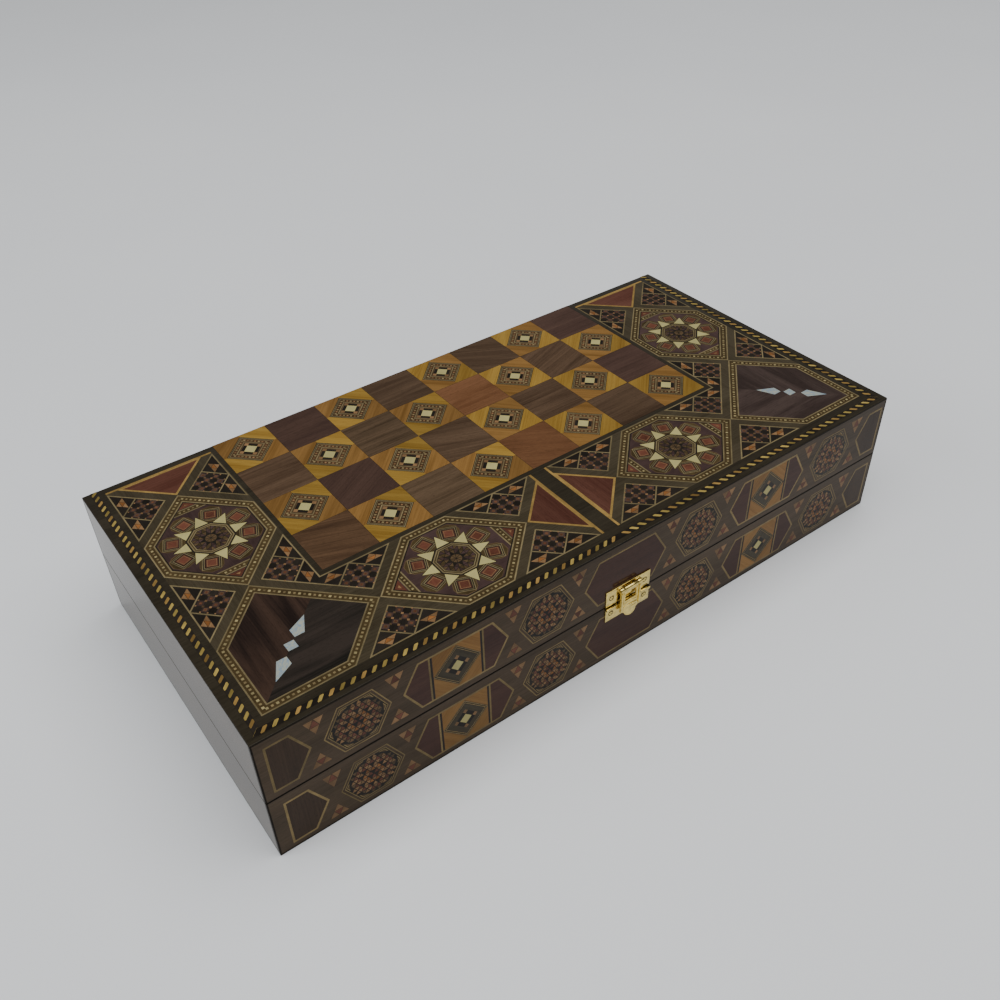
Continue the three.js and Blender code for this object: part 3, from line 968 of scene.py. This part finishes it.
def square_panel(pen):
    """A long hexagon with a bone diamond in an orange-brown square."""
    pen.poly(pen.rings(long_hexagon(36.4, 25.6, FRONT_HALF), ((1.3, "front_string"),)), "mahogany")
    inner = FRONT_HALF - 1.3
    for side in (-1, 1):
        pen.poly(rectangle(side * 18.8, side * 17.6, -inner, inner), "front_string")
        pen.poly(rectangle(side * 17.6, side * 16.4, -inner, inner), "black")
    square = pen.clipped((16.2, -1), (16.2, 1)).clipped((-16.2, 1), (-16.2, -1))
    square = square.clipped((-1, -inner), (1, -inner)).clipped((1, inner), (-1, inner))
    for k in range(4):
        square.at(0, 0, 90 * k).poly(rectangle(0, 20, 0, 20), "honey", -45)
    lines = ((0.3, "black"), (0.45, "front_string"), (0.6, "black"), (0.45, "front_string"), (0.3, "black"))
    square.poly(square.rings(diamond(16.6), lines), "smoked", 45)
    pen.poly(diamond(8.4), "black")
    bone_diamond(pen, 4.2, 1.8)


def small_triangles(pen):
    """Three tan triangles and a dark red one, above and below the middle line."""
    for corners in ([(-6.2, 20.0), (6.2, 20.0), (0, 7.9)], [(-6.2, -18.0), (6.2, -18.0), (0, -7.6)]):
        parts = quarter_of(corners)
        for part, name in zip(parts, ("tan", "tan", "tan", "red")):
            pen.poly(inset(part, 0.2), name)


def end_panel(pen, reach):
    """The five-sided panel at an end of the front: its tip at the origin, its flat side at x = reach."""
    outline = [(reach, -FRONT_HALF), (reach, FRONT_HALF), (10.4, FRONT_HALF), (0, 0), (10.4, -FRONT_HALF)]
    pen.poly(pen.rings(outline, ((1.4, "front_string"),)), "cocoa", 90)


def front_side(places, end):
    """Half a front, with the places of its panels from the centre outwards, to the case's end."""

    def draw(pen):
        near, middle, far, tip = places
        rosette(pen.at(near, 0))
        square_panel(pen.at(middle, 0))
        rosette(pen.at(far, 0))
        for x in (near - BESIDE, near + BESIDE, far - BESIDE, far + BESIDE):
            small_triangles(pen.at(x, 0))
        end_panel(pen.at(tip, 0), end - tip)

    return motif(draw)


def front_centre(pen):
    """The plain long hexagon behind the latch."""
    pen.poly(pen.rings(long_hexagon(34, 23, FRONT_HALF), ((1.2, "front_string"),)), "mahogany")


FRONT_CENTRE = motif(front_centre)


def veneer_sheet(width, low, high, margins, notches=()):
    """A plain side's veneer with its dark worn edges, margins wide (at the ends, below, above), and with
    notches where the hinge knuckles are: (x, half width, z low, z high)."""

    def draw(pen):
        end, below, above = margins
        pen.poly(rectangle(-width, width, low, high), "worn_edge")
        pen.poly(rectangle(-width + end, width - end, low + below, high - above), "veneer")
        for x, half, bottom, top in notches:
            pen.poly(rectangle(x - half, x + half, bottom, top), None)

    return motif(draw)


KNUCKLES = []
for hinge in ("left", "right"):
    low, high = box_mm(f"{hinge}_hinge_base_leaf")
    KNUCKLES.append(((low.x + high.x) / 2, (high.x - low.x) / 2 + 0.4))

SPANS = {"base": (BOTTOM.z + 0.3, BASE_RIM), "lid": (LID_RIM, TOP.z - 0.3)}
SLIT = {"base": (BASE_RIM - 4.2, BASE_RIM + 1), "lid": (LID_RIM - 1, LID_RIM + 4.2)}
MARGINS = {"base": (1.2, 0.5), "lid": (0.5, 1.2)}

for tray, (low, high) in SPANS.items():
    notches = [(x, half, *SLIT[tray]) for x, half in KNUCKLES]
    long_side = veneer_sheet(HALF_X + VENEER, low, high, (1.0, *MARGINS[tray]))
    hinge_side = veneer_sheet(HALF_X + VENEER, low, high, (1.0, *MARGINS[tray]), notches)
    short_side = veneer_sheet(HALF_Y, low, high, (2.2, *MARGINS[tray]))
    skin = Piece(f"{tray}_side_veneers")
    skin.plate(long_side, -Y * HALF_Y, X, Z, -Y, VENEER, 0.3)
    skin.plate(hinge_side, Y * HALF_Y, X, Z, Y, VENEER, 0.3)
    skin.plate(short_side, -X * HALF_X, Y, Z, -X, VENEER, 0.3)
    skin.plate(short_side, X * HALF_X, Y, Z, X, VENEER, 0.3)
    skin.make(tray, "walnut")
    places, ends = FRONT_PLACES[tray], ENDS[tray]
    halves = (
        ("front_left_inlay", front_side([-x for x in places[3::-1]], -ends[0]), -X, 0),
        ("front_centre_inlay", FRONT_CENTRE, X, places[4]),
        ("front_right_inlay", front_side(places[5:], ends[1]), X, 0),
    )
    for name, drawing, u, x in halves:
        piece = Piece(f"{tray}_{name}")
        piece.plate(drawing, Vector((x, -HALF_Y, FRONT_MIDDLE[tray])), u, Z, -Y, VENEER + PROUD, 0.3)
        piece.make(tray, "marquetry")


# ---------------------------------------------------------------- the playing board inside

POINTS = 6
POINT_PITCH = 2 * FIELD_Y / POINTS
POINT_LENGTH = 182.0
FIELD_END = FIELD_Y - 0.3  # where the strings end
BEADS_END = FIELD_Y - 1
FIELD_BEADS = (3.4, 1.6, ("tan", "cream"))  # pitch, size and paints


def points(first):
    """Six points from the short side at x = 0 towards +x; y runs across the tray."""

    def draw(pen):
        pen.poly(rectangle(0.3, 4.3, -FIELD_END, FIELD_END), "black")
        pen.beads((2.3, -BEADS_END), (2.3, BEADS_END), *FIELD_BEADS)
        pen.poly(rectangle(4.3, 5.2, -FIELD_END, FIELD_END), "string")
        for k in range(POINTS):
            y = -FIELD_Y + POINT_PITCH * (k + 0.5)
            half = POINT_PITCH / 2 - 1.2
            light = (k + first) % 2
            outline = [(5.6, y - half), (POINT_LENGTH, y), (5.6, y + half)]
            rings = ((0.9, "string"), (0.8, "black"), (0.6, "gold"))
            inside = pen.rings(outline, rings)
            pen.poly(inside, "lemon" if light else "padauk")
            for x in (24.0, 30.0):
                reach = half * (1 - x / POINT_LENGTH) - 1.6
                pen.poly(rectangle(x, x + 1.0, y - reach, y + reach), "umber" if light else "string")
            pen.poly([(POINT_LENGTH + 2.6 + p, y + q) for p, q in diamond(2.4)], "bone")

    return motif(draw)


def board_centre(pen):
    """The band between the two rows of points, its length along x."""
    star_panel(pen)
    for turned in (0, 180):
        end = pen.at(0, 0, turned)
        mosaic_triangle(end.at(STAR_TIP, -STAR_HALF))
        mosaic_triangle(end.at(STAR_TIP, STAR_HALF, 180))
        red = [(54.0, 0), (83.5, -29.5), (83.5, 29.5)]
        end.poly(end.rings(red, ((1.4, "gold"),)), "padauk", 90)
        panel = rectangle(85.0, BEADS_END, -STAR_HALF, STAR_HALF)
        rings = ((STRING, "string"), (3.4, "umber"), (STRING, "string"))
        end.poly(end.beaded_border(panel, 3.4, 1.5, rings), "rosewood", 90)
        end.at(99.5, 0).poly([(-6, 0), (0, -14), (6, 0), (0, 14)], "pearl")
    for side in (-1, 1):
        pen.poly(rectangle(-FIELD_END, FIELD_END, side * 38.2, side * 39.3), "gold")
        pen.poly(rectangle(-FIELD_END, FIELD_END, side * 39.3, side * 43.0), "black")
        pen.beads((-BEADS_END, side * 41.1), (BEADS_END, side * 41.1), *FIELD_BEADS)
        pen.poly(rectangle(-FIELD_END, FIELD_END, side * 43.0, side * 44.0), "string")


BOARD_CENTRE = motif(board_centre)
FIELDS = {"base": (BASE_FIELD, Z), "lid": (LID_FIELD, -Z)}

for tray, (level, normal) in FIELDS.items():
    middle = Z * level
    for side, u in (("left", X), ("right", -X)):
        piece = Piece(f"{tray}_{side}_points")
        first = (side == "right") == (tray == "lid")
        piece.plate(points(first), middle - u * FIELD_X, u, Y, normal, PROUD)
        piece.make(tray, "playing_board")
    piece = Piece(f"{tray}_board_centre")
    piece.plate(BOARD_CENTRE, middle, Y, X, normal, PROUD)
    piece.make(tray, "playing_board")


# ---------------------------------------------------------------- men and dice

# Half a man's outline, as radii and heights
MAN = (
    (0, 0.0), (14.9, 0.0), (15.7, 0.3), (16.0, 1.1),
    (16.0, 3.6), (15.5, 4.0), (15.5, 4.6), (16.0, 5.0),
    (16.0, 7.4), (15.6, 8.4), (14.7, 8.9), (13.6, 9.0),
    (12.8, 8.6), (12.3, 8.0), (11.3, 7.8), (10.6, 8.3), (9.6, 8.6),
    (5.6, 8.6), (4.9, 8.1), (3.6, 8.0), (2.4, 8.4), (0, 8.6),
)
MAN_HEIGHT = max(height for _, height in MAN)

for colour in ("light", "dark"):
    for number in range(1, 16):
        node = f"{colour}_man_{number:02d}"
        low, high = box_mm(node)
        scale = (high.z - low.z) / MAN_HEIGHT
        man = Piece(f"{node}_turned")
        angle = man.draw.uniform(0, math.pi)
        along = X * math.cos(angle) + Y * math.sin(angle)
        foot = middle_of(low, high)
        foot.z = low.z + PROUD
        profile = [(r, h * scale - (PROUD if h > 1 else 0)) for r, h in MAN]
        man.lathe(profile, foot, Z, f"{colour}_man", 40, along, Z.cross(along))
        man.make("base", f"{colour}_men", [node], 50)

PIPS = {
    1: ((0, 0),),
    2: ((-1, -1), (1, 1)),
    3: ((-1, -1), (0, 0), (1, 1)),
    4: ((-1, -1), (1, 1), (-1, 1), (1, -1)),
    5: ((-1, -1), (1, 1), (-1, 1), (1, -1), (0, 0)),
    6: ((-1, -1), (1, 1), (-1, 1), (1, -1), (-1, 0), (1, 0)),
}
PIP = ((0, -0.5), (1.15, -0.5), (1.15, 0.02), (0.9, 0.06), (0, 0.06))

for node, faces in (("die_1", ((Z, 5), (X, 3), (Y, 1))), ("die_2", ((Z, 2), (X, 6), (Y, 4)))):
    low, high = box_mm(node)
    middle = middle_of(low, high)
    half = (high.x - low.x) / 2
    die = Piece(f"{node}_rounded")
    die.block(low, high, "ivory", 1.6, segments=4)
    for axis, value in faces:
        for direction, count in ((axis, value), (-axis, 7 - value)):
            side = direction.orthogonal().normalized()
            other = direction.cross(side)
            for a, b in PIPS[count]:
                spot = middle + direction * half + (side * a + other * b) * half * 0.5
                die.lathe(PIP, spot, direction, "black", 12)
    die.make("base", "bone", [node], 40)


# ---------------------------------------------------------------- brass

TUMBLED = 0.16  # radius of the broken edges
SHARP_FROM = math.radians(40)  # edges that turn by more than this are broken


def tumbled(node, bend=None):
    """A stamped brass part from its CAD shape, with its edges broken."""
    shape = bmesh.new()
    shape.from_mesh(nodes[node].data)
    for vert in shape.verts:
        vert.co /= MM
    bmesh.ops.remove_doubles(shape, verts=shape.verts, dist=0.001)
    bmesh.ops.dissolve_limit(shape, angle_limit=math.radians(1), verts=shape.verts, edges=shape.edges)
    sharp = []
    for edge in shape.edges:
        if len(edge.link_faces) == 2 and edge.calc_face_angle(0) > SHARP_FROM:
            sharp.append(edge)
    bmesh.ops.bevel(shape, geom=sharp, offset=TUMBLED, segments=2, profile=0.5, affect="EDGES")
    if bend:
        for vert in shape.verts:
            vert.co += bend(vert.co)
    piece = Piece(f"{node}_brass")
    piece.take(shape, "brass", X, Z)
    return piece


HASP_LOW, HASP_HIGH = box_mm("hasp")
HASP_X = (HASP_LOW.x + HASP_HIGH.x) / 2
HASP_HALF = (HASP_HIGH.x - HASP_LOW.x) / 2
TAB_TOP = HASP_LOW.z + 4.5
HASP_FRONT = -HALF_Y - 3.5
KEEPER_TOP = 48.25
LIP_LONG = 8.0  # of each rolled lip, from an end of the keeper
# Ridges pressed into the hasp: nearest and furthest x from its middle, z range, rise, rounding
RAILS = ((HASP_HALF - 1.5, HASP_HALF - 0.15, 41.6, 57.4, 0.7, 0.3), (5.0, 5.9, 46.6, 56.8, 0.3, 0.2))
RIBS = ((46.2, 47.3, 0.4), (43.6, 44.7, 0.5), (41.2, 42.1, 0.3))  # across its middle: z range, rise


def curl(point):
    """The thumb tab curves away from the case."""
    drop = max(0.0, TAB_TOP - point.z)
    return Vector((0, -0.05 * drop * drop, 0))


def ridge(x0, x1, z0, z1, rise, rounding):
    """One ridge on the hasp's face, between two distances from its middle."""
    low = (HASP_X + x0, HASP_FRONT - rise, z0)
    high = (HASP_X + x1, HASP_FRONT + 0.4, z1)
    hasp.block(low, high, "brass", rounding, X, Z)


tumbled("latch_plate").make("lid", "brass", ["latch_plate"], 30)
keeper = tumbled("keeper_plate")
low, high = box_mm("keeper_plate")
for start, end in ((low.x, low.x + LIP_LONG), (high.x - LIP_LONG, high.x)):
    lip_low = (start, low.y - 0.15, KEEPER_TOP - 2.2)
    lip_high = (end, -HALF_Y - 0.3, KEEPER_TOP - 0.2)
    keeper.block(lip_low, lip_high, "brass", 0.8, X, Z, 4)
keeper.make("base", "brass", ["keeper_plate"], 30)
hasp = tumbled("hasp", curl)
for side in (-1, 1):
    for near, far, z0, z1, rise, rounding in RAILS:
        x0, x1 = sorted((side * near, side * far))
        ridge(x0, x1, z0, z1, rise, rounding)
for z0, z1, rise in RIBS:
    ridge(-5.6, 5.6, z0, z1, rise, 0.25)
hasp.make("hasp", "brass", ["hasp"], 30)

PLATE_FACE = -HALF_Y - 1.0
HINGE_SCREWS = (-18, 0, 18)  # along a leaf, from its middle
HINGE_SCREW_SIZE = 0.6  # as a share of a latch screw
SCREW = ((0, -0.4), (1.45, -0.4), (1.45, 0.05), (1.25, 0.3), (0.8, 0.45), (0, 0.48))
# A flat disc under the head, in dark brass as painted shade for its countersink
COUNTERSINK_SHADE = ((0, -0.4), (2.1, -0.4), (2.1, 0.02), (1.9, 0.05), (1.5, 0.02), (0, 0.02))


def screw(piece, spot, direction, scale=1.0, turned=0.6):
    """A domed head on a disc of painted shade for its countersink, with its slot as crossed bars of painted
    shade.
    """
    piece.lathe([(r * scale, h * scale) for r, h in COUNTERSINK_SHADE], spot, direction, "dark_brass", 24, X, Z)
    piece.lathe([(r * scale, h * scale) for r, h in SCREW], spot, direction, "brass", 24, X, Z)
    side = direction.orthogonal().normalized()
    side = Matrix.Rotation(turned, 3, direction) @ side
    other = direction.cross(side)
    # The slot: two crossed dark bars, a little proud of the dome, as painted shade
    for along, across in ((side, other), (other, side)):
        verts = []
        for height in (0.2, 0.5):
            for a, b in ((-0.8, -0.16), (0.8, -0.16), (0.8, 0.16), (-0.8, 0.16)):
                verts.append(spot + (along * a + across * b + direction * height) * scale)
        faces = [[3, 2, 1, 0], [4, 5, 6, 7], [0, 1, 5, 4], [1, 2, 6, 5], [2, 3, 7, 6], [3, 0, 4, 7]]
        if along.cross(across).dot(direction) < 0:
            faces = [face[::-1] for face in faces]
        piece.solid(verts, faces, "dark_brass", X, Z)


for plate, body in (("latch_plate", "lid"), ("keeper_plate", "base")):
    for side in ("left", "right"):
        node = f"{plate}_{side}_screw"
        low, high = box_mm(node)
        head = Piece(f"{node}_head")
        spot = middle_of(low, high)
        spot.y = PLATE_FACE
        screw(head, spot, -Y, turned=head.draw.uniform(0, 1.5))
        head.make(body, "brass", [node], 30)

for hinge in ("left", "right"):
    for leaf, normal in (("base", Z), ("lid", -Z)):
        node = f"{hinge}_hinge_{leaf}_leaf"
        low, high = box_mm(node)
        heads = Piece(f"{node}_screws")
        level = BASE_RIM if leaf == "base" else LID_RIM
        for shift in HINGE_SCREWS:
            spot = Vector(((low.x + high.x) / 2 + shift, low.y + 2.3, level - 0.3 * normal.z))
            screw(heads, spot, normal, HINGE_SCREW_SIZE, heads.draw.uniform(0, 1.5))
        heads.make(leaf, "brass", smooth=30)


# ---------------------------------------------------------------- finishes of the CAD nodes that stay

FINISHES = {"panel": "plywood", "playing_board": "field", "front_wall": "case_x", "back_wall": "case_x"}
FINISHES.update({"left_wall": "case_y", "right_wall": "case_y", "leaf": "brass", "pin": "brass"})

for name, node in nodes.items():
    if node.hide_render:
        continue
    finish = next(look for ending, look in FINISHES.items() if name.endswith(ending))
    node.data.materials.clear()
    node.data.materials.append(paint(finish))


# ---------------------------------------------------------------- floor and light


def floor_paint():
    tree = Tree("pale_table")
    where = tree.node("TexCoord").outputs["Object"]
    clouds = tree.noise(where, 1.4, 3.0)
    tree.set(Base_Color=tree.ramp(clouds, ((0.35, (0.735, 0.755, 0.775)), (0.65, (0.765, 0.785, 0.80)))))
    tree.set(Roughness=0.6, Specular_IOR_Level=0.3)
    return tree.material


bpy.ops.mesh.primitive_plane_add(size=40)
floor = bpy.context.object
floor.name = "table_top"
floor.data.materials.append(floor_paint())

world = bpy.data.worlds.new("room")
bpy.context.scene.world = world
world.use_nodes = True
sky = world.node_tree.nodes["Background"]
sky.inputs["Color"].default_value = (0.93, 0.96, 1.0, 1)
sky.inputs["Strength"].default_value = 0.18


def softbox(name, at, target, size, watts, colour):
    light = bpy.data.lights.new(name, "AREA")
    light.shape = "RECTANGLE"
    light.size, light.size_y = size
    light.energy = watts
    light.color = colour
    lamp = bpy.data.objects.new(name, light)
    bpy.context.scene.collection.objects.link(lamp)
    at, target = Vector(at), Vector(target)
    lamp.rotation_euler = (at - target).to_track_quat("Z", "Y").to_euler()
    lamp.location = at


softbox("ceiling_light", (0.0, -0.6, 3.4), (0, 0, 0), (5.5, 3.8), 180, (1.0, 0.985, 0.975))
softbox("window_light", (-3.4, 0.8, 2.0), (0, 0, 0.05), (2.4, 1.8), 44, (0.93, 0.965, 1.0))

bpy.context.view_layer.update()
